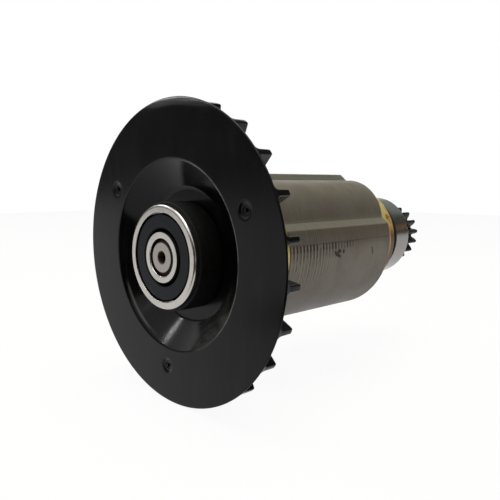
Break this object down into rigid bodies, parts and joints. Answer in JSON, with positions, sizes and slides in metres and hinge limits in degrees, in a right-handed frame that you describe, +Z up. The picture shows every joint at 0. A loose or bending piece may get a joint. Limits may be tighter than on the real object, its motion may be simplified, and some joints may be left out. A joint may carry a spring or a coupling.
{
  "type": "motor armature",
  "caption": "Motor rotor: laminated steel core on a shaft, moulded radial fan and sleeved ball bearing at one end, second ball bearing and small toothed gear at the other.",
  "frame": {"origin": "on the spin axis, in the plane of the front bearing's outer face", "axes": "+Y along the spin axis, from the front bearing to the gear; +Z up"},
  "size_m": [0.0648, 0.0906, 0.0648],
  "materials": {
    "ground_steel": "ground",
    "bearing_steel": "polished",
    "laminations": "varnished lamination edges",
    "magnet": "plated",
    "end_plate": "satin",
    "balance_brass": "turned",
    "fan_plastic": "semi-gloss",
    "sleeve_rubber": "smooth",
    "seal_rubber": "satin",
    "cage_plastic": "natural",
    "black_oxide": "black oxide"
  },
  "bodies": {
    "front_bearing_side": {"bearing_sleeve": "sleeve_rubber", "front_outer_ring": "bearing_steel", "front_bearing_seal": "seal_rubber", "front_bearing_inner_seal": "seal_rubber"},
    "rotor": {"shaft": "ground_steel", "rotor_core": "laminations", "magnet_1": "magnet", "magnet_2": "magnet", "magnet_3": "magnet", "magnet_4": "magnet", "front_end_plate": "end_plate", "rear_end_plate": "laminations", "front_balance_ring": "balance_brass", "rear_balance_ring": "balance_brass", "fan": "fan_plastic", "front_inner_ring": "bearing_steel", "rear_inner_ring": "bearing_steel", "drive_gear": "black_oxide"},
    "front_ball_cage": {"front_cage": "cage_plastic", "front_balls": "bearing_steel"},
    "rear_bearing_side": {"rear_outer_ring": "bearing_steel", "rear_bearing_seal": "seal_rubber", "rear_bearing_inner_seal": "seal_rubber"},
    "rear_ball_cage": {"rear_cage": "cage_plastic", "rear_balls": "bearing_steel"}
  },
  "joints": [
    {"name": "rotor_spin", "type": "hinge", "parent": "front_bearing_side", "child": "rotor", "pos_m": [0, 0, 0], "axis": [0, 1, 0], "continuous": true},
    {"name": "front_cage_spin", "type": "hinge", "parent": "front_bearing_side", "child": "front_ball_cage", "pos_m": [0, 0.0035, 0], "axis": [0, 1, 0], "continuous": true},
    {"name": "rear_ring_spin", "type": "hinge", "parent": "rotor", "child": "rear_bearing_side", "pos_m": [0, 0.0762, 0], "axis": [0, 1, 0], "continuous": true},
    {"name": "rear_cage_spin", "type": "hinge", "parent": "rotor", "child": "rear_ball_cage", "pos_m": [0, 0.0762, 0], "axis": [0, 1, 0], "continuous": true}
  ],
  "couplings": [
    {"joint": "front_cage_spin", "follows": "rotor_spin", "ratio": 0.3677},
    {"joint": "rear_cage_spin", "follows": "rear_ring_spin", "ratio": 0.6323}
  ]
}
